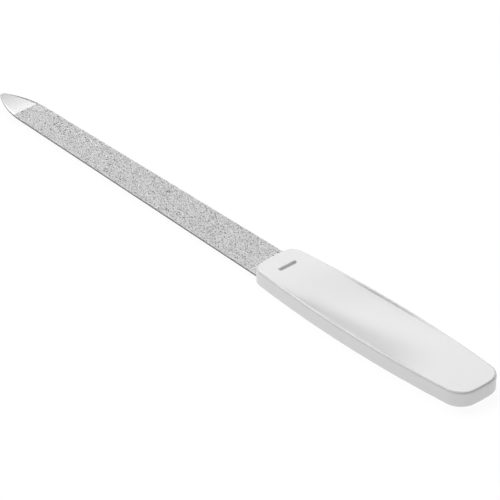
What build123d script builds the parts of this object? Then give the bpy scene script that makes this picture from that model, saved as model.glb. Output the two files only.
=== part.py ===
"""Nail file: a stamped steel blade with grit on both faces, and a plastic handle moulded round its tang.

The blade's length lies along X, with the tip at -X and the handle's rear end at +X.
The origin is under the middle of the file's length, on the plane of the handle's underside.
"""

import math
import os

from build123d import *

# Whole file
length = 150.0
tip_x = -length / 2
rear_x = length / 2

# Blade: a strip that widens towards the handle, with an almond-shaped tip
# It leaves the handle's front below the middle and rises a little towards the tip.
blade_thickness = 0.4
blade_z_at_handle = 1.23
blade_rise_angle = 0.7
blade_half_width_at_tip = 3.75
blade_half_width_at_handle = 5.03
tip_length = 10.9
tip_overshoot = 0.72  # how far ahead of the tip its two side arcs would meet if it weren't rounded
tip_radius = 0.9
blade_edge_radius = 0.08

# Grit, bonded to both faces of the blade
grit_thickness = 0.08
bare_tip_length = 8.55
grit_end_in_handle = 1.5

# Handle: barrel-shaped outline, flat faces
handle_length = 61.7
handle_height = 3.65
handle_half_width = 7.55
handle_widest_x = 45.0
handle_side_radius = 280.0
handle_front_radius = 38.0
handle_rear_radius = 32.0
front_corner_radius = 2.7
rear_corner_radius = 4.3
handle_top_edge_radius = 0.5
handle_under_edge_radius = 0.45

# Thumb dish in the handle's top face: a long shallow floor, with steeper side walls beside the thumb
dish_depth = 1.4
dish_deepest_x = 39.0
dish_front_reach = 21.5
dish_rear_reach = 30.0
dish_wall_height = 0.25
dish_wall_run = 1.4  # from the rim inwards, where the wall has levelled out into the floor
dish_wall_x = 37.5
dish_wall_front_reach = 10.0
dish_wall_rear_reach = 20.0
dish_rim = 0.42
dish_run_out = 0.02  # how far the dish's ends rise past the top face, so that it ends in a clean line
dish_steps_along = 34
dish_steps_across = 20

# Shallow slot across the handle's top face, just behind the blade
slot_centre_behind_front = 4.95
slot_length = 4.95
slot_width = 0.9
slot_depth = 0.55

# Tang inside the handle
tang_shoulder_behind_front = 8.0
tang_half_width = 4.0
tang_end_behind_front = 46.0
tang_corner_radius = 1.5
lock_hole_diameter = 3.0
lock_hole_distances = (16.0, 38.0)

handle_front_x = rear_x - handle_length
slot_x = handle_front_x + slot_centre_behind_front
blade_length = length - handle_length
taper = (blade_half_width_at_handle - blade_half_width_at_tip) / (blade_length - tip_length)

# The blade's middle plane: local X runs rearwards along the blade, from 0 at the handle's front.
blade_rise = math.radians(blade_rise_angle)
blade_plane = Plane(
    origin=(handle_front_x, 0, blade_z_at_handle),
    x_dir=(math.cos(blade_rise), 0, -math.sin(blade_rise)),
    z_dir=(math.sin(blade_rise), 0, math.cos(blade_rise)),
)


def handle_half_width_at(x):
    """Half the handle's width at x, on the arc of its long side."""
    rise = math.sqrt(handle_side_radius**2 - (x - handle_widest_x) ** 2)
    return handle_half_width - handle_side_radius + rise


def reach_share(x, centre_x, front_reach, rear_reach):
    """How far x is from centre_x, as a share of the reach on that side, at most 1."""
    reach = front_reach if x < centre_x else rear_reach
    return min(abs(x - centre_x) / reach, 1.0)


def dish_floor_z(x, y):
    """Height of the dish's floor: it fades smoothly to both ends and curves up to its side walls."""
    swell = math.cos(math.pi / 2 * reach_share(x, dish_deepest_x, dish_front_reach, dish_rear_reach)) ** 2
    wall = (1 - reach_share(x, dish_wall_x, dish_wall_front_reach, dish_wall_rear_reach) ** 2) ** 1.5
    crossing = (y / handle_half_width_at(x)) ** 2
    off_wall = min((handle_half_width_at(x) - dish_rim - abs(y)) / dish_wall_run, 1.0)
    wall_depth = dish_wall_height * wall * crossing * (1 - (1 - off_wall) ** 2)
    cover = swell * (1 - crossing) + wall * crossing
    return handle_height - dish_depth * swell * (1 - crossing) - wall_depth + dish_run_out * (1 - cover)


with BuildSketch() as blank:
    with BuildLine():
        side_start_x = tip_length - blade_length
        shoulder_y = blade_half_width_at_tip + taper * (tang_shoulder_behind_front - side_start_x)
        for side in (-1, 1):
            side_start = (side_start_x, side * blade_half_width_at_tip)
            shoulder = (tang_shoulder_behind_front, side * shoulder_y)
            tang_start = (tang_shoulder_behind_front, side * tang_half_width)
            tang_corner = (tang_end_behind_front, side * tang_half_width)
            TangentArc(side_start, (-blade_length - tip_overshoot, 0), tangent=(-1, -side * taper))
            Line(side_start, shoulder)
            Line(shoulder, tang_start)
            Line(tang_start, tang_corner)
            Line(tang_corner, (tang_end_behind_front, 0))
    make_face()
    fillet(vertices().sort_by(Axis.X)[0], tip_radius)
    fillet(vertices().group_by(Axis.X)[-1], tang_corner_radius)

with BuildPart() as blade:
    with BuildSketch(blade_plane.offset(-blade_thickness / 2)):
        add(blank.sketch)
    extrude(amount=blade_thickness)
    broad_faces = faces().sort_by(SortBy.AREA)[-2:]
    handle_side_x = handle_front_x + tang_shoulder_behind_front - 1
    fillet(broad_faces.edges().filter_by(lambda edge: edge.center().X < handle_side_x), blade_edge_radius)
    with BuildSketch(blade_plane):
        with Locations(*[(distance, 0) for distance in lock_hole_distances]):
            Circle(lock_hole_diameter / 2)
    extrude(amount=blade_thickness, both=True, mode=Mode.SUBTRACT)
blade.part.label = "blade"

# The grit covers the flat of the blade from a straight line behind the bare tip into the handle.
grit_start = bare_tip_length - blade_length

with BuildSketch() as grit_area:
    add(blank.sketch)
    offset(amount=-blade_edge_radius, kind=Kind.INTERSECTION)
    with Locations(((grit_start + grit_end_in_handle) / 2, 0)):
        Rectangle(grit_end_in_handle - grit_start, length, mode=Mode.INTERSECT)

with BuildPart() as abrasive_top:
    with BuildSketch(blade_plane.offset(blade_thickness / 2)):
        add(grit_area.sketch)
    extrude(amount=grit_thickness)
abrasive_top.part.label = "abrasive_top"

with BuildPart() as abrasive_bottom:
    with BuildSketch(blade_plane.offset(-blade_thickness / 2 - grit_thickness)):
        add(grit_area.sketch)
    extrude(amount=grit_thickness)
abrasive_bottom.part.label = "abrasive_bottom"

with BuildSketch() as handle_outline:
    with BuildLine():
        front_y = handle_half_width_at(handle_front_x)
        rear_y = handle_half_width_at(rear_x)
        front_sag = handle_front_radius - math.sqrt(handle_front_radius**2 - front_y**2)
        rear_sag = handle_rear_radius - math.sqrt(handle_rear_radius**2 - rear_y**2)
        front_corner = (handle_front_x + front_sag, handle_half_width_at(handle_front_x + front_sag))
        rear_corner = (rear_x - rear_sag, handle_half_width_at(rear_x - rear_sag))
        ThreePointArc(front_corner, (handle_widest_x, handle_half_width), rear_corner)
        mirror(about=Plane.XZ)
        ThreePointArc(front_corner, (handle_front_x, 0), (front_corner[0], -front_corner[1]))
        ThreePointArc(rear_corner, (rear_x, 0), (rear_corner[0], -rear_corner[1]))
    make_face()
    fillet(vertices().group_by(Axis.X)[0], front_corner_radius)
    fillet(vertices().group_by(Axis.X)[-1], rear_corner_radius)

# The dish: what lies above its curved floor, inside the rim. The floor's points crowd towards its walls.
dish_xs = [
    dish_deepest_x - dish_front_reach + (dish_front_reach + dish_rear_reach) * step / dish_steps_along
    for step in range(dish_steps_along + 1)
]
width_shares = [
    math.sin(math.pi / 2 * (2 * step / dish_steps_across - 1)) for step in range(dish_steps_across + 1)
]
dish_points = []
for x in dish_xs:
    ys = [handle_half_width_at(x) * share for share in width_shares]
    dish_points.append([Vector(x, y, dish_floor_z(x, y)) for y in ys])
dish_floor = Face.make_surface_from_array_of_points(dish_points)

with BuildPart() as scoop:
    extrude(dish_floor, amount=handle_height, dir=(0, 0, 1))
    with BuildSketch():
        add(handle_outline.sketch)
        offset(amount=-dish_rim)
    extrude(amount=3 * handle_height, mode=Mode.INTERSECT)

with BuildPart() as handle:
    add(handle_outline.sketch)
    extrude(amount=handle_height)
    fillet(faces().sort_by(Axis.Z)[-1].edges(), handle_top_edge_radius)
    fillet(faces().sort_by(Axis.Z)[0].edges(), handle_under_edge_radius)
    add(scoop.part, mode=Mode.SUBTRACT)
    with BuildSketch(Plane.XY.offset(handle_height - slot_depth)):
        with Locations((slot_x, 0)):
            SlotOverall(slot_length, slot_width, rotation=90)
    extrude(amount=slot_depth, mode=Mode.SUBTRACT)
    for piece in (blade, abrasive_top, abrasive_bottom):
        add(piece.part, mode=Mode.SUBTRACT)
handle.part.label = "handle"

os.makedirs("parts", exist_ok=True)
for piece in (blade, abrasive_top, abrasive_bottom, handle):
    export_step(piece.part, f"parts/{piece.part.label}.step")
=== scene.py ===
import math
import random

import bmesh
import bpy
import numpy as np
from mathutils import Matrix, Vector


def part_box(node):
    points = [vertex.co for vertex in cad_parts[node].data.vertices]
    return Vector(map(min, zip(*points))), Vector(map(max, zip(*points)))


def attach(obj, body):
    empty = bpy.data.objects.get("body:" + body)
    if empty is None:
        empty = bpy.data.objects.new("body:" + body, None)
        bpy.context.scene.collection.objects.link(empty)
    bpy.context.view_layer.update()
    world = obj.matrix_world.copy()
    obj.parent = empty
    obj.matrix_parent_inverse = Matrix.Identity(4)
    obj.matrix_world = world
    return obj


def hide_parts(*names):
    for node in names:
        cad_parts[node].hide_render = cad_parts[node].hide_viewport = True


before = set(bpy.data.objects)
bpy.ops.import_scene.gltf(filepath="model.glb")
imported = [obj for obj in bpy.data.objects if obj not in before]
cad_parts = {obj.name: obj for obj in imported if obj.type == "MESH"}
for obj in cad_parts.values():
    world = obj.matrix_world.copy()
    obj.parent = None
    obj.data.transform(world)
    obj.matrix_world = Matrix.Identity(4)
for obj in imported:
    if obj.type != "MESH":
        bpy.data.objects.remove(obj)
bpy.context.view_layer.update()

# A nail file: a stamped steel blade with grit on both faces, and a plastic handle moulded round its tang.
# Lengths are in metres. The tip is at -X, the handle's rear end at +X, and the thumb dish faces +Z.
mm = 0.001

handle_low, handle_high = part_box("handle")
blade_low, blade_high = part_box("blade")
grit_low, grit_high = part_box("abrasive_top")

# Blade. It is made on its own axes and then put in place: X runs rearwards along it from the handle's
# front, and Z is the normal of its upper face. It rises a little towards the tip.
BLADE_Z_AT_HANDLE = 1.23 * mm
BLADE_RISE = math.radians(0.7)
BLADE_LENGTH = 88.3 * mm
BLADE_HALF_THICKNESS = 0.2 * mm
BLADE_HALF_WIDTH_AT_TIP = 3.75 * mm
BLADE_HALF_WIDTH_AT_HANDLE = 5.03 * mm
BLADE_EDGE_RADIUS = 0.05 * mm
TIP_LENGTH = 10.9 * mm
TIP_OVERSHOOT = 0.72 * mm  # how far ahead of the tip its two side arcs would meet
TIP_RADIUS = 0.9 * mm
POINT_HALF_THICKNESS = 0.11 * mm  # the bare tip is ground thinner towards its point
POINT_GROUND_LENGTH = 9.0 * mm
TANG_SHOULDER = 8.0 * mm
TANG_SHOULDER_LEAN = 0.1 * mm  # how far along the blade the shoulder takes to step in
TANG_HALF_WIDTH = 4.0 * mm
TANG_CORNER_RADIUS = 1.5 * mm
LOCK_HOLE_RADIUS = 1.5 * mm
LOCK_HOLE_XS = (16.0 * mm, 38.0 * mm)
BLADE_SHARP_ANGLE = math.radians(25)  # sharper edges than this aren't shaded smooth

# Grit: crystals in uneven rows, held by a thin uneven coat
GRAIN_PITCH = 0.26 * mm
GRAIN_SHIFT = 0.5  # how far a crystal may lie off its row and column, as a share of the pitch
GRAIN_RADII = (0.09 * mm, 0.19 * mm)
GRAIN_STRETCH = (0.8, 1.2)  # of its radius, along two of its axes
GRAIN_SUNK = (0.1, 0.5)  # from the coat's top down to its middle, as a share of its radius
GRAIN_SHAPES = 40
GRAIN_POINTS = 9
GRAIN_POINT_REACH = (0.8, 1.15)  # as a share of its radius
COAT_THICKNESS = 0.05 * mm
COAT_UNEVENNESS = (0.5, 1.1)  # as a share of its thickness
COAT_STEP = 0.25 * mm
COAT_STEPS_ACROSS = 36

# Handle: an outline of arcs that meet in small round corners
HANDLE_FRONT_RADIUS = 38.0 * mm
HANDLE_REAR_RADIUS = 32.0 * mm
HANDLE_SIDE_RADIUS = 280.0 * mm
HANDLE_WIDEST_X = 45.0 * mm
FRONT_CORNER_RADIUS = 2.7 * mm
REAR_CORNER_RADIUS = 4.3 * mm
TOP_EDGE_RADIUS = 0.5 * mm
UNDER_EDGE_RADIUS = 0.45 * mm
HANDLE_SHARP_ANGLE = math.radians(30)

# Thumb dish: a long shallow floor, with steeper side walls beside the thumb
DISH_DEPTH = 1.4 * mm
DISH_DEEPEST_X = 39.0 * mm
DISH_REACH = (21.5 * mm, 30.0 * mm)  # forwards and rearwards from its deepest place
DISH_WALL_HEIGHT = 0.25 * mm
DISH_WALL_RUN = 1.4 * mm  # from the rim inwards, where the wall has levelled out into the floor
DISH_WALL_X = 37.5 * mm
DISH_WALL_REACH = (10.0 * mm, 20.0 * mm)
DISH_RIM = 0.40 * mm
DISH_RIM_DRAFT = 0.45 * mm  # from the rim inwards, where the steep wall has met the dish's floor

# Shallow slot across the top face, narrower below its soft lip
SLOT_X = handle_low.x + 4.95 * mm
SLOT_HALF_LENGTH = 2.35 * mm
SLOT_HALF_WIDTH = 0.32 * mm
SLOT_DEPTH = 0.55 * mm
SLOT_LIP = 0.2 * mm
SLOT_LIP_TURN = math.radians(80)  # the lip bends outwards by this much, and then runs on straight

# How finely the handle is divided. Its flat faces gather to a middle line, the spine.
OUTLINE_STEPS = (6, 9, 84, 10, 8)  # front, front corner, side, rear corner, rear
EDGE_STEPS = 6
SPINE_END_GAP = 6.0 * mm  # from the handle's ends
FLAT_INSET = 1.0 * mm  # from the handle's side in to where the rings begin to gather
UNDERSIDE_SHARES = (0.0, 0.3, 0.6, 0.85)  # from the spine out to there
SIDE_WALL_SHARES = (0.33, 0.67)  # from the lower to the upper rounded edge
RIM_WALL_SHARES = (0.1, 0.4, 0.6, 0.8, 1.0)  # from the rim in to the dish's floor
RIM_FOOT_INSET = 0.93 * mm
TOP_STEPS = 16
SLOT_STEPS = 48
SLOT_LIP_STEPS = 4

# How finely the blade is divided
NOSE_STEP_TURN = math.radians(9)  # round the nose, from the point
NOSE_STEPS = 9
TIP_STEPS = 28  # from the nose to the straight sides
STRAIGHT_STEPS = 20  # from there to the tang's shoulder
TANG_CORNER_STEPS = 6
BLADE_EDGE_STEPS = 3
SECTION_SHARES = (0.8, 0.5, 0.25)  # of the half width, from the edge to the middle
HOLE_STEPS = 40
MERGE_DISTANCE = 1e-4 * mm

# Materials
NOISE_RANGE = (0.3, 0.7)  # where nearly all values of a noise texture lie

# Camera
VIEW_AZIMUTH = math.radians(47.17)
VIEW_ELEVATION = math.radians(34.15)
VIEW_ROLL = math.radians(0.49)
VIEW_CENTRE = Vector((3.76, 2.65, -0.98)) * mm
VIEW_DISTANCE = 800.1 * mm
LENS_MM = 273.8
SENSOR_MM = 36.0
CLIP_RANGE = (0.05, 10.0)

# Light
SOFTBOX_AZIMUTH = math.radians(252.0)
SOFTBOX_ELEVATION = math.radians(50.5)
SOFTBOX_DISTANCE = 1.0
SOFTBOX_SIZE = (1.38, 0.69)  # across and upwards
SOFTBOX_RADIANCE = 3.2
SURROUND_TOWARDS = (0.0, -0.9, 0.44)  # where the surround is brightest
SURROUND_LEVELS = (0.0, 0.40)  # opposite that, and there
FLOOR_GLOW = 0.91
FLOOR_HALF_SIZE = 10.0
FLOOR_DROP = 0.03 * mm  # how far it lies below the file, so that the two don't share a plane
BACKDROP_RADIUS = 3.0
BACKDROP_TOP = math.radians(12.0)  # how far up it reaches, seen from the file
BACKDROP_AZIMUTHS = [math.radians(azimuth) for azimuth in range(150, 290, 10)]


# ---------------------------------------------------------------- mesh helpers


def new_object(name, mesh):
    piece = bpy.data.objects.new(name, mesh)
    bpy.context.scene.collection.objects.link(piece)
    return piece


def mesh_from_rings(name, rings):
    """A mesh with a quad between each two neighbouring points of each two neighbouring closed rings."""
    count = len(rings[0])
    verts = [point for ring in rings for point in ring]
    faces = []
    for row in range(len(rings) - 1):
        for column in range(count):
            after = (column + 1) % count
            low, high = row * count, (row + 1) * count
            faces.append((low + column, low + after, high + after, high + column))
    mesh = bpy.data.meshes.new(name)
    mesh.from_pydata(verts, [], faces)
    work = bmesh.new()
    work.from_mesh(mesh)
    bmesh.ops.remove_doubles(work, verts=work.verts, dist=MERGE_DISTANCE)
    bmesh.ops.dissolve_degenerate(work, edges=work.edges, dist=MERGE_DISTANCE)
    bmesh.ops.recalc_face_normals(work, faces=work.faces)
    work.to_mesh(mesh)
    work.free()
    return mesh


def cut(piece, cutters):
    """Takes each cutter's volume out of piece, and removes the cutters that aren't CAD nodes."""
    for cutter in cutters:
        modifier = piece.modifiers.new("cut", "BOOLEAN")
        modifier.operation = "DIFFERENCE"
        modifier.solver = "EXACT"
        modifier.object = cutter
        bpy.context.view_layer.update()
        graph = bpy.context.evaluated_depsgraph_get()
        piece.data = bpy.data.meshes.new_from_object(piece.evaluated_get(graph))
        piece.modifiers.clear()
        if cutter.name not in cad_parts:
            bpy.data.objects.remove(cutter)


def smooth(piece, angle):
    """Smooth shading, with edges sharper than angle kept as edges and flat faces kept flat."""
    piece.data.shade_smooth()
    piece.data.set_sharp_from_angle(angle=angle)
    weighted = piece.modifiers.new("weighted_normals", "WEIGHTED_NORMAL")
    weighted.keep_sharp = True


# ---------------------------------------------------------------- outlines

SIDE_START_X = TIP_LENGTH - BLADE_LENGTH
BLADE_TAPER = (BLADE_HALF_WIDTH_AT_HANDLE - BLADE_HALF_WIDTH_AT_TIP) / -SIDE_START_X


def tip_arcs():
    """The arc (x, y, radius) that runs on from the straight side at +Y, and the round nose (x, radius)."""
    start = Vector((SIDE_START_X, BLADE_HALF_WIDTH_AT_TIP))
    chord = Vector((-BLADE_LENGTH - TIP_OVERSHOOT, 0)) - start
    inwards = Vector((BLADE_TAPER, -1)).normalized()
    radius = chord.length_squared / (2 * chord.dot(inwards))
    centre = start + inwards * radius
    nose_x = centre.x - math.sqrt((radius - TIP_RADIUS) ** 2 - centre.y**2)
    return (centre.x, centre.y, radius), (nose_x, TIP_RADIUS)


TIP_ARC, TIP_NOSE = tip_arcs()
NOSE_END_X = TIP_ARC[0] + (TIP_NOSE[0] - TIP_ARC[0]) * TIP_ARC[2] / (TIP_ARC[2] - TIP_NOSE[1])
TIP_X = TIP_NOSE[0] - TIP_NOSE[1]


def blade_half_width(x):
    """Half the blade's width at x: a round nose, an arc, then a straight side that spreads to the handle."""
    if x >= SIDE_START_X:
        return BLADE_HALF_WIDTH_AT_TIP + BLADE_TAPER * (x - SIDE_START_X)
    if x >= NOSE_END_X:
        return TIP_ARC[1] + math.sqrt(TIP_ARC[2] ** 2 - (x - TIP_ARC[0]) ** 2)
    return math.sqrt(max(TIP_NOSE[1] ** 2 - (x - TIP_NOSE[0]) ** 2, 0.0))


def along_blade(x):
    """A place on the blade's own X axis, from a place on the handle's."""
    return (x - handle_low.x) / math.cos(BLADE_RISE)


TANG_END_X = along_blade(blade_high.x)
GRIT_START_X = along_blade(grit_low.x)
GRIT_END_X = along_blade(grit_high.x)
BLADE_PLACE = Matrix.Translation((handle_low.x, 0, BLADE_Z_AT_HANDLE)) @ Matrix.Rotation(BLADE_RISE, 4, "Y")


def small_circle(first, second, radius, nearest_x):
    """Centre of a circle that touches two larger circles (x, y, radius) from inside, near nearest_x."""
    reach_a, reach_b = first[2] - radius, second[2] - radius
    run = Vector((second[0] - first[0], second[1] - first[1]))
    along = (reach_a**2 - reach_b**2 + run.length_squared) / (2 * run.length)
    across = math.sqrt(reach_a**2 - along**2)
    unit = run.normalized()
    turned = Vector((-unit.y, unit.x))
    places = [Vector(first[:2]) + unit * along + turned * across * side for side in (-1, 1)]
    return min(places, key=lambda place: abs(place.x - nearest_x))


def handle_outline():
    """Points and outward normals round the handle, from the middle of its front by +Y, and back by -Y."""
    front = (handle_low.x + HANDLE_FRONT_RADIUS, 0.0, HANDLE_FRONT_RADIUS)
    side = (HANDLE_WIDEST_X, handle_high.y - HANDLE_SIDE_RADIUS, HANDLE_SIDE_RADIUS)
    rear = (handle_high.x - HANDLE_REAR_RADIUS, 0.0, HANDLE_REAR_RADIUS)
    front_corner = small_circle(front, side, FRONT_CORNER_RADIUS, handle_low.x)
    rear_corner = small_circle(rear, side, REAR_CORNER_RADIUS, handle_high.x)

    def heading(circle, place):
        return math.atan2(place.y - circle[1], place.x - circle[0])

    turns = (math.pi, heading(front, front_corner), heading(side, front_corner),
             heading(side, rear_corner), heading(rear, rear_corner), 0.0)
    circles = (
        front, (*front_corner, FRONT_CORNER_RADIUS), side, (*rear_corner, REAR_CORNER_RADIUS), rear
    )
    half = []
    for (x, y, radius), begin, end, count in zip(circles, turns, turns[1:], OUTLINE_STEPS):
        for step in range(count):
            angle = begin + (end - begin) * step / count
            normal = Vector((math.cos(angle), math.sin(angle)))
            half.append((Vector((x, y)) + normal * radius, normal))
    half.append((Vector((handle_high.x, 0.0)), Vector((1.0, 0.0))))
    flip = Vector((1.0, -1.0))
    other_half = [(point * flip, normal * flip) for point, normal in reversed(half[1:-1])]
    return half + other_half


# ---------------------------------------------------------------- handle


def handle_half_width(x):
    rise = math.sqrt(HANDLE_SIDE_RADIUS**2 - (x - HANDLE_WIDEST_X) ** 2)
    return handle_high.y - HANDLE_SIDE_RADIUS + rise


def reach_share(x, centre_x, reach):
    """How far x is from centre_x, as a share of the reach on that side, at most 1."""
    return min(abs(x - centre_x) / reach[0 if x < centre_x else 1], 1.0)


def dish_floor(x, y):
    """Height of the dish's floor, which fades to the top face at both ends and curves up to its walls."""
    swell = math.cos(math.pi / 2 * reach_share(x, DISH_DEEPEST_X, DISH_REACH)) ** 2
    wall = (1 - reach_share(x, DISH_WALL_X, DISH_WALL_REACH) ** 2) ** 1.5
    crossing = min((y / handle_half_width(x)) ** 2, 1.0)
    off_wall = min(max((handle_half_width(x) - DISH_RIM - abs(y)) / DISH_WALL_RUN, 0.0), 1.0)
    wall_depth = DISH_WALL_HEIGHT * wall * crossing * (1 - (1 - off_wall) ** 2)
    return handle_high.z - DISH_DEPTH * swell * (1 - crossing) - wall_depth


def edge_drop(inset, radius):
    """How far an edge rounded to that radius lies off the flat face at that inset from the side."""
    away = max(radius - inset, 0.0)
    return radius - math.sqrt(radius**2 - away**2)


def top_height(x, y, inset):
    """Height of the handle's top: rounded edge, thin rim, steep dish wall, then the dish's floor."""
    rim = handle_high.z - edge_drop(inset, TOP_EDGE_RADIUS)
    down = min(max((inset - DISH_RIM) / DISH_RIM_DRAFT, 0.0), 1.0)
    return rim + (min(dish_floor(x, y), rim) - rim) * down


def handle_rings():
    """Closed rings from the middle of the underside, out and up over the side, to the middle of the top."""
    outline = handle_outline()
    spine_low, spine_high = handle_low.x + SPINE_END_GAP, handle_high.x - SPINE_END_GAP

    def flat_ring(share, height):
        ring = []
        for point, normal in outline:
            edge = point - normal * FLAT_INSET
            spine = Vector((min(max(edge.x, spine_low), spine_high), 0.0))
            place = spine.lerp(edge, share)
            ring.append((place.x, place.y, height(place.x, place.y)))
        return ring

    def edge_ring(inset, height):
        places = [point - normal * inset for point, normal in outline]
        return [(place.x, place.y, height(place.x, place.y)) for place in places]

    quarter = [1 - math.cos(math.pi / 2 * step / EDGE_STEPS) for step in range(EDGE_STEPS + 1)]
    rings = [flat_ring(share, lambda x, y: handle_low.z) for share in UNDERSIDE_SHARES]
    rings.append(edge_ring(FLAT_INSET, lambda x, y: handle_low.z))
    for inset in [UNDER_EDGE_RADIUS * share for share in reversed(quarter)]:
        rings.append(edge_ring(inset, lambda x, y: handle_low.z + edge_drop(inset, UNDER_EDGE_RADIUS)))
    wall_low, wall_high = handle_low.z + UNDER_EDGE_RADIUS, handle_high.z - TOP_EDGE_RADIUS
    for share in SIDE_WALL_SHARES:
        rings.append(edge_ring(0.0, lambda x, y: wall_low + share * (wall_high - wall_low)))
    top_insets = [TOP_EDGE_RADIUS * share for share in quarter]
    top_insets += [DISH_RIM + DISH_RIM_DRAFT * share for share in RIM_WALL_SHARES]
    top_insets += [RIM_FOOT_INSET, FLAT_INSET]
    for inset in sorted(top_insets):
        rings.append(edge_ring(inset, lambda x, y: top_height(x, y, inset)))
    for step in reversed(range(TOP_STEPS)):
        rings.append(flat_ring(step / TOP_STEPS, dish_floor))
    return rings


def slot_cutter(name):
    """A shallow rounded slot, with a lip that flares outwards at its mouth."""
    mouth_z = handle_high.z
    profile = [(0.0, mouth_z - SLOT_DEPTH), (0.0, mouth_z - SLOT_LIP)]
    for step in range(1, SLOT_LIP_STEPS + 1):
        angle = SLOT_LIP_TURN * step / SLOT_LIP_STEPS
        profile.append((SLOT_LIP * (1 - math.cos(angle)), mouth_z - SLOT_LIP * (1 - math.sin(angle))))
    profile.append((2 * profile[-1][0], mouth_z + SLOT_LIP))
    rings = []
    for flare, z in profile:
        ring = []
        for step in range(SLOT_STEPS):
            angle = 2 * math.pi * step / SLOT_STEPS
            centre_y = math.copysign(SLOT_HALF_LENGTH - SLOT_HALF_WIDTH, math.sin(angle))
            radius = SLOT_HALF_WIDTH + flare
            ring.append((SLOT_X + radius * math.cos(angle), centre_y + radius * math.sin(angle), z))
        rings.append(ring)
    first = [(SLOT_X, 0.0, rings[0][0][2])] * SLOT_STEPS
    last = [(SLOT_X, 0.0, rings[-1][0][2])] * SLOT_STEPS
    return new_object(name, mesh_from_rings(name, [first, *rings, last]))


def make_handle():
    """The moulded body, with the slot across its top face and the pocket that holds the tang."""
    piece = new_object("handle_body", mesh_from_rings("handle_body", handle_rings()))
    cut(piece, [slot_cutter("slot"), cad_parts["blade"]])
    smooth(piece, HANDLE_SHARP_ANGLE)
    piece.data.materials.append(plastic_material())
    return piece


# ---------------------------------------------------------------- blade


def half_thickness(x):
    """Half the blade's thickness at x: the bare tip thins smoothly towards its point."""
    away = min((x - TIP_X) / POINT_GROUND_LENGTH, 1.0)
    return BLADE_HALF_THICKNESS - (BLADE_HALF_THICKNESS - POINT_HALF_THICKNESS) * (1 - away) ** 2


def tang_half_width(x):
    """Half the tang's width at x. Its end has round corners."""
    into_corner = max(x - (TANG_END_X - TANG_CORNER_RADIUS), 0.0)
    corner_width = math.sqrt(max(TANG_CORNER_RADIUS**2 - into_corner**2, 0.0))
    return TANG_HALF_WIDTH - TANG_CORNER_RADIUS + corner_width


def blade_section(x, half_width):
    """One rounded cross-section of the blade, as a closed ring of points."""
    thick = half_thickness(x)
    round_off = min(BLADE_EDGE_RADIUS, half_width / 2)
    turns = [math.pi / 2 * step / BLADE_EDGE_STEPS for step in range(BLADE_EDGE_STEPS + 1)]
    corner = [
        (half_width - round_off * (1 - math.cos(turn)), thick - round_off * (1 - math.sin(turn)))
        for turn in turns
    ]
    quarter = corner + [(half_width * share, thick) for share in SECTION_SHARES]
    upper = quarter + [(0.0, thick)] + [(-y, z) for y, z in reversed(quarter)]
    ring = upper + [(y, -z) for y, z in reversed(upper)]
    return [(x, y, z) for y, z in ring]


def make_blade():
    """The steel blank: rounded sections from the tip to the tang's end, then two lock holes in the tang."""
    xs = [TIP_NOSE[0] - TIP_NOSE[1] * math.cos(NOSE_STEP_TURN * step) for step in range(NOSE_STEPS)]
    for end, count in ((SIDE_START_X, TIP_STEPS), (TANG_SHOULDER, STRAIGHT_STEPS)):
        start = xs[-1]
        xs += [start + (end - start) * step / count for step in range(1, count + 1)]
    sections = [blade_section(x, blade_half_width(x)) for x in xs]
    tang_start = TANG_SHOULDER + TANG_SHOULDER_LEAN
    corner_start = TANG_END_X - TANG_CORNER_RADIUS
    sections += [blade_section(x, TANG_HALF_WIDTH) for x in (tang_start, corner_start)]
    for step in range(1, TANG_CORNER_STEPS + 1):
        x = corner_start + TANG_CORNER_RADIUS * math.sin(math.pi / 2 * step / TANG_CORNER_STEPS)
        sections.append(blade_section(x, tang_half_width(x)))
    last = [(x, y, 0.0) for x, y, _ in sections[-1]]
    piece = new_object("blade_blank", mesh_from_rings("blade_blank", sections + [last]))
    cut(piece, [round_pin(f"lock_pin_{number}", x) for number, x in enumerate(LOCK_HOLE_XS)])
    piece.data.transform(BLADE_PLACE)
    smooth(piece, BLADE_SHARP_ANGLE)
    piece.data.materials.append(steel_material())
    return piece


def round_pin(name, x):
    """A short upright pin through the tang, which cuts a lock hole.

    None of its corners is on the X axis, because the blade has points of its own there.
    """
    top_z = 2 * BLADE_HALF_THICKNESS
    rings = []
    for reach, z in ((0.0, -top_z), (LOCK_HOLE_RADIUS, -top_z), (LOCK_HOLE_RADIUS, top_z), (0.0, top_z)):
        ring = []
        for step in range(HOLE_STEPS):
            angle = 2 * math.pi * (step + 0.5) / HOLE_STEPS
            ring.append((x + reach * math.cos(angle), reach * math.sin(angle), z))
        rings.append(ring)
    return new_object(name, mesh_from_rings(name, rings))


# ---------------------------------------------------------------- grit


def grain_shapes(rng):
    """A few dozen rough convex crystals of about unit radius, as (points, triangles)."""
    shapes = []
    for _ in range(GRAIN_SHAPES):
        work = bmesh.new()
        for _ in range(GRAIN_POINTS):
            towards = Vector([rng.gauss(0, 1) for _ in range(3)]).normalized()
            work.verts.new(towards * rng.uniform(*GRAIN_POINT_REACH))
        hull = bmesh.ops.convex_hull(work, input=work.verts)
        loose = [item for item in hull["geom_interior"] if isinstance(item, bmesh.types.BMVert)]
        bmesh.ops.delete(work, geom=loose, context="VERTS")
        bmesh.ops.triangulate(work, faces=work.faces)
        work.verts.index_update()
        points = np.array([vert.co for vert in work.verts])
        triangles = np.array([[vert.index for vert in face.verts] for face in work.faces])
        shapes.append((points, triangles))
        work.free()
    return shapes


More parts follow.
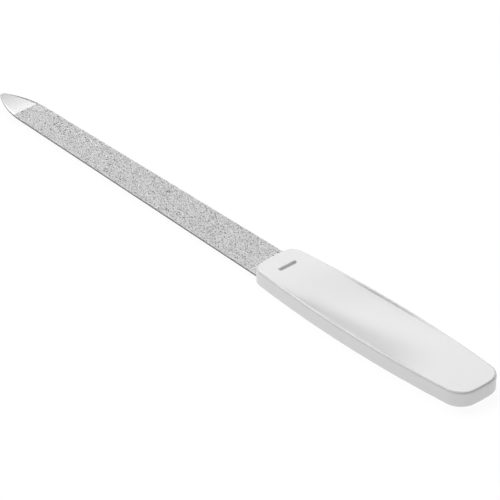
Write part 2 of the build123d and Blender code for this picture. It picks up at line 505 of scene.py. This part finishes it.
def grain_places(rng):
    """Uneven rows of places over the grit area, up to its straight front line and the blade's edges."""
    places = []
    rows = int((GRIT_END_X - GRIT_START_X) / GRAIN_PITCH)
    for row in range(rows):
        x_row = GRIT_START_X + (row + 0.5) * GRAIN_PITCH
        reach = blade_half_width(x_row)
        columns = int(2 * reach / GRAIN_PITCH)
        stagger = 0.5 * (row % 2)
        for column in range(columns + 1):
            x = x_row + rng.uniform(-GRAIN_SHIFT, GRAIN_SHIFT) * GRAIN_PITCH
            y = (column + stagger - columns / 2 + rng.uniform(-GRAIN_SHIFT, GRAIN_SHIFT)) * GRAIN_PITCH
            if x > GRIT_START_X and abs(y) < reach - GRAIN_RADII[1]:
                places.append((x, y))
    return places


def make_grains(name, up, seed):
    """One mesh of crystals, each more than half sunk in the coat. up is 1, or -1 on the lower face."""
    rng = random.Random(seed)
    shapes = grain_shapes(rng)
    base_z = BLADE_HALF_THICKNESS + COAT_THICKNESS
    verts, faces, count = [], [], 0
    for x, y in grain_places(rng):
        points, triangles = rng.choice(shapes)
        angle = rng.uniform(0, 2 * math.pi)
        axis = [rng.gauss(0, 1) for _ in range(3)]
        turn = np.array(Matrix.Rotation(angle, 3, axis))
        radius = rng.uniform(*GRAIN_RADII)
        size = radius * np.array([rng.uniform(*GRAIN_STRETCH), rng.uniform(*GRAIN_STRETCH), 1.0])
        sunk = rng.uniform(*GRAIN_SUNK) * radius
        verts.append((points * size) @ turn.T + np.array([x, y, up * (base_z - sunk)]))
        faces.append(triangles + count)
        count += len(points)
    mesh = bpy.data.meshes.new(name)
    mesh.from_pydata(np.concatenate(verts).tolist(), [], np.concatenate(faces).tolist())
    mesh.transform(BLADE_PLACE)
    piece = new_object(name, mesh)
    piece.data.materials.append(grain_material())
    return piece


def make_coat(name, up, seed):
    """The uneven coat that binds the grains, from the grit's front line to inside the handle."""
    rng = random.Random(seed)
    steps_along = int((GRIT_END_X - GRIT_START_X) / COAT_STEP)
    base_z = up * BLADE_HALF_THICKNESS
    rings = []
    for step in range(steps_along + 1):
        x = GRIT_START_X + (GRIT_END_X - GRIT_START_X) * step / steps_along
        reach = blade_half_width(x) - BLADE_EDGE_RADIUS
        ys = [reach * (2 * column / COAT_STEPS_ACROSS - 1) for column in range(COAT_STEPS_ACROSS + 1)]
        over = [(x, y, base_z + up * COAT_THICKNESS * rng.uniform(*COAT_UNEVENNESS)) for y in ys]
        under = [(x, y, base_z) for y in (reach, -reach)]
        rings.append(over + under)
    middle_z = base_z + up * COAT_THICKNESS / 2
    first, last = [[(x, 0.0, middle_z)] * len(rings[0]) for x in (GRIT_START_X, GRIT_END_X)]
    piece = new_object(name, mesh_from_rings(name, [first, *rings, last]))
    piece.data.transform(BLADE_PLACE)
    piece.data.materials.append(coat_material())
    return piece


# ---------------------------------------------------------------- materials


def new_material(name, grey, metallic, roughness):
    """A plain grey material and its shader."""
    material = bpy.data.materials.new(name)
    material.use_nodes = True
    shader = material.node_tree.nodes["Principled BSDF"]
    shader.inputs["Base Color"].default_value = (grey, grey, grey, 1)
    shader.inputs["Metallic"].default_value = metallic
    shader.inputs["Roughness"].default_value = roughness
    return material, shader


def add_node(material, kind, **settings):
    """A new shader node, with those of its inputs and settings given by name."""
    node = material.node_tree.nodes.new(kind)
    for key, value in settings.items():
        if key in node.inputs:
            node.inputs[key].default_value = value
        else:
            setattr(node, key, value)
    return node


def noise(material, scale, detail=2.0, stretch=(1, 1, 1)):
    """Noise laid out in metres on the object's own coordinates; scale is in features per metre."""
    links = material.node_tree.links
    place = add_node(material, "ShaderNodeTexCoord")
    mapping = add_node(material, "ShaderNodeMapping")
    mapping.inputs["Scale"].default_value = stretch
    texture = add_node(material, "ShaderNodeTexNoise", Scale=scale, Detail=detail)
    links.new(place.outputs["Object"], mapping.inputs["Vector"])
    links.new(mapping.outputs["Vector"], texture.inputs["Vector"])
    return texture.outputs["Fac"]


def spread(material, value, low, high, start=NOISE_RANGE[0], end=NOISE_RANGE[1]):
    """Maps a value between start and end to the range from low to high."""
    node = add_node(material, "ShaderNodeMapRange")
    node.inputs["From Min"].default_value = start
    node.inputs["From Max"].default_value = end
    node.inputs["To Min"].default_value = low
    node.inputs["To Max"].default_value = high
    material.node_tree.links.new(value, node.inputs["Value"])
    return node.outputs["Result"]


def tint(material, value, dark, light, start=NOISE_RANGE[0], end=NOISE_RANGE[1]):
    """Maps a value between start and end to a grey between dark and light."""
    ramp = add_node(material, "ShaderNodeValToRGB")
    ramp.color_ramp.elements[0].position = start
    ramp.color_ramp.elements[0].color = (dark, dark, dark, 1)
    ramp.color_ramp.elements[1].position = end
    ramp.color_ramp.elements[1].color = (light, light, light, 1)
    material.node_tree.links.new(value, ramp.inputs["Fac"])
    return ramp.outputs["Color"]


def bump(material, shader, height, distance):
    """Roughens the shader's normal by height, which counts for that distance from 0 to 1."""
    node = add_node(material, "ShaderNodeBump", Strength=1.0, Distance=distance)
    material.node_tree.links.new(height, node.inputs["Height"])
    material.node_tree.links.new(node.outputs["Normal"], shader.inputs["Normal"])


def plastic_material():
    """White moulded plastic: softly glossy, faintly uneven in tone and sheen, with a fine orange peel."""
    material, shader = new_material("white_plastic", grey=0.82, metallic=0.0, roughness=0.26)
    links = material.node_tree.links
    shader.inputs["IOR"].default_value = 1.58
    tone = tint(material, noise(material, scale=90), dark=0.817, light=0.823)
    links.new(tone, shader.inputs["Base Color"])
    sheen = spread(material, noise(material, scale=250), low=0.25, high=0.27)
    links.new(sheen, shader.inputs["Roughness"])
    bump(material, shader, noise(material, scale=1500), distance=0.0006 * mm)
    return material


def axis_of(material, vector, axis):
    """One coordinate of a vector socket."""
    split = add_node(material, "ShaderNodeSeparateXYZ")
    material.node_tree.links.new(vector, split.inputs["Vector"])
    return split.outputs[axis]


def point_shade_share(material):
    """0 at the blade's point, 1 from where the ground length ends: the mask of the painted shade towards the
    point.
    """
    place = add_node(material, "ShaderNodeTexCoord")
    along = axis_of(material, place.outputs["Object"], "X")
    ground_end_x = blade_low.x + POINT_GROUND_LENGTH
    return spread(material, along, low=0.0, high=1.0, start=blade_low.x, end=ground_end_x)


def face_share(material):
    """1 on the blade's upper and lower faces, falling to 0 on its edges: the mask of the painted edge shade.
    """
    geometry = add_node(material, "ShaderNodeNewGeometry")
    size = add_node(material, "ShaderNodeMath", operation="ABSOLUTE")
    upright = axis_of(material, geometry.outputs["Normal"], "Z")
    material.node_tree.links.new(upright, size.inputs[0])
    return size.outputs["Value"]


def steel_material():
    """Plated steel with faintly brushed faces. Its colour carries painted shade, darker towards the point
    and on its sideways-facing edges.
    """
    material, shader = new_material("polished_steel", grey=0.39, metallic=1.0, roughness=0.24)
    links = material.node_tree.links
    # Painted shade: the steel's colour darkens towards the point, standing in for the darker reflection
    # there
    painted_point_shade = tint(material, point_shade_share(material), dark=0.36, light=0.42, start=0.0, end=1.0)
    # Painted shade: faces turned sideways, the blade's edges, are darkened to stand in for the dark edge
    # line light gives them
    painted_edge_shade = tint(material, face_share(material), dark=0.45, light=1.0, start=0.1, end=0.5)
    # The painted shade towards the point and the painted edge shade, multiplied into the base colour
    tone = add_node(material, "ShaderNodeVectorMath", operation="MULTIPLY")
    links.new(painted_point_shade, tone.inputs[0])
    links.new(painted_edge_shade, tone.inputs[1])
    links.new(tone.outputs["Vector"], shader.inputs["Base Color"])
    lines = noise(material, scale=2500, detail=3, stretch=(0.05, 1, 1))
    links.new(spread(material, lines, low=0.22, high=0.26), shader.inputs["Roughness"])
    bump(material, shader, lines, distance=0.0004 * mm)
    return material


def grain_material():
    """Crystals, most of them pale and some dark, each with its own tone and gloss."""
    material, shader = new_material("grit_crystals", grey=0.8, metallic=0.0, roughness=0.17)
    shader.inputs["IOR"].default_value = 1.77
    links = material.node_tree.links
    geometry = add_node(material, "ShaderNodeNewGeometry")
    each = geometry.outputs["Random Per Island"]
    tone = tint(material, each, dark=0.02, light=1.0, start=0.0, end=0.5)
    links.new(tone, shader.inputs["Base Color"])
    gloss = spread(material, noise(material, scale=3000), low=0.08, high=0.25)
    links.new(gloss, shader.inputs["Roughness"])
    bump(material, shader, noise(material, scale=12000), distance=0.01 * mm)
    return material


def coat_material():
    """The duller coat between the crystals, mottled from mid grey to pale."""
    material, shader = new_material("grit_coat", grey=0.7, metallic=0.0, roughness=0.5)
    tone = tint(material, noise(material, scale=4000, detail=3), dark=0.55, light=0.88)
    material.node_tree.links.new(tone, shader.inputs["Base Color"])
    bump(material, shader, noise(material, scale=9000, detail=3), distance=0.03 * mm)
    return material


# ---------------------------------------------------------------- floor, light and camera


def direction(azimuth, elevation):
    """Unit vector from the file towards that direction. Azimuth 0 is -Y, and 90 degrees is +X."""
    return Vector((
        math.cos(elevation) * math.sin(azimuth),
        -math.cos(elevation) * math.cos(azimuth),
        math.sin(elevation),
    ))


def pose_at(right, up, back, place):
    """A pose with those three axes at that place."""
    return Matrix.Translation(place) @ Matrix((right, up, back)).transposed().to_4x4()


def stage_piece(name, verts, faces, material):
    """A piece of the surroundings, which isn't part of the file."""
    mesh = bpy.data.meshes.new(name)
    mesh.from_pydata(verts, [], faces)
    mesh.materials.append(material)
    new_object(name, mesh)


def make_floor():
    """A large glowing sheet under the file, and a low strip of it that stands far off at +Y and -X."""
    material, shader = new_material("pale_floor", grey=0.12, metallic=0.0, roughness=0.9)
    shader.inputs["Emission Color"].default_value = (1, 1, 1, 1)
    shader.inputs["Emission Strength"].default_value = FLOOR_GLOW
    shader.inputs["Specular IOR Level"].default_value = 0.0
    corners = [
        (side_x * FLOOR_HALF_SIZE, side_y * FLOOR_HALF_SIZE, -FLOOR_DROP)
        for side_x, side_y in ((-1, -1), (1, -1), (1, 1), (-1, 1))
    ]
    stage_piece("floor", corners, [(0, 1, 2, 3)], material)
    height = BACKDROP_RADIUS * math.tan(BACKDROP_TOP)
    feet = [direction(azimuth, 0.0) * BACKDROP_RADIUS for azimuth in BACKDROP_AZIMUTHS]
    tops = [foot + Vector((0, 0, height)) for foot in feet]
    count = len(feet)
    sides = [(step, step + 1, count + step + 1, count + step) for step in range(count - 1)]
    stage_piece("backdrop", feet + tops, sides, material)


def make_softbox():
    """One large soft light high up beyond the tip. The flat faces mirror the lower part of it."""
    light = bpy.data.lights.new("softbox", "AREA")
    light.shape = "RECTANGLE"
    light.size, light.size_y = SOFTBOX_SIZE
    light.energy = SOFTBOX_RADIANCE * math.pi * SOFTBOX_SIZE[0] * SOFTBOX_SIZE[1]
    lamp = bpy.data.objects.new("softbox", light)
    bpy.context.scene.collection.objects.link(lamp)
    towards = direction(SOFTBOX_AZIMUTH, SOFTBOX_ELEVATION)
    level = Vector((0, 0, 1)).cross(towards).normalized()
    lamp.matrix_world = pose_at(level, towards.cross(level), towards, towards * SOFTBOX_DISTANCE)


def make_world():
    """A dim surround, brightest towards -Y and somewhat up, that fades to black the opposite way."""
    world = bpy.data.worlds.new("studio")
    bpy.context.scene.world = world
    world.use_nodes = True
    tree = world.node_tree
    place = tree.nodes.new("ShaderNodeTexCoord")
    share = tree.nodes.new("ShaderNodeVectorMath")
    share.operation = "DOT_PRODUCT"
    share.inputs[1].default_value = Vector(SURROUND_TOWARDS).normalized()
    level = tree.nodes.new("ShaderNodeMapRange")
    level.inputs["From Min"].default_value = -1.0
    level.inputs["From Max"].default_value = 1.0
    level.inputs["To Min"].default_value = SURROUND_LEVELS[0]
    level.inputs["To Max"].default_value = SURROUND_LEVELS[1]
    background = tree.nodes["Background"]
    background.inputs["Color"].default_value = (1, 1, 1, 1)
    tree.links.new(place.outputs["Generated"], share.inputs[0])
    tree.links.new(share.outputs["Value"], level.inputs["Value"])
    tree.links.new(level.outputs["Result"], background.inputs["Strength"])


def make_camera():
    """The camera, which looks at VIEW_CENTRE from its azimuth and elevation."""
    back = direction(VIEW_AZIMUTH, VIEW_ELEVATION)
    level_right = Vector((0, 0, 1)).cross(back).normalized()
    level_up = back.cross(level_right)
    right = level_right * math.cos(VIEW_ROLL) + level_up * math.sin(VIEW_ROLL)
    up = level_up * math.cos(VIEW_ROLL) - level_right * math.sin(VIEW_ROLL)
    camera = bpy.data.objects.new("camera", bpy.data.cameras.new("camera"))
    bpy.context.scene.collection.objects.link(camera)
    camera.data.sensor_width = SENSOR_MM
    camera.data.lens = LENS_MM
    camera.data.clip_start, camera.data.clip_end = CLIP_RANGE
    camera.matrix_world = pose_at(right, up, back, VIEW_CENTRE + back * VIEW_DISTANCE)
    bpy.context.scene.camera = camera


# ---------------------------------------------------------------- assembly

pieces = [
    (make_handle(), "plastic", "handle"),
    (make_blade(), "steel", "blade"),
    (make_coat("grit_coat_top", up=1, seed=11), "grit", "abrasive_top"),
    (make_grains("grit_grains_top", up=1, seed=12), "grit", "abrasive_top"),
    (make_coat("grit_coat_under", up=-1, seed=13), "grit", "abrasive_bottom"),
    (make_grains("grit_grains_under", up=-1, seed=14), "grit", "abrasive_bottom"),
]
for piece, slot, node in pieces:
    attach(piece, "root")
    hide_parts(node)

make_floor()
make_softbox()
make_world()
make_camera()
bpy.context.scene.view_settings.view_transform = "Standard"
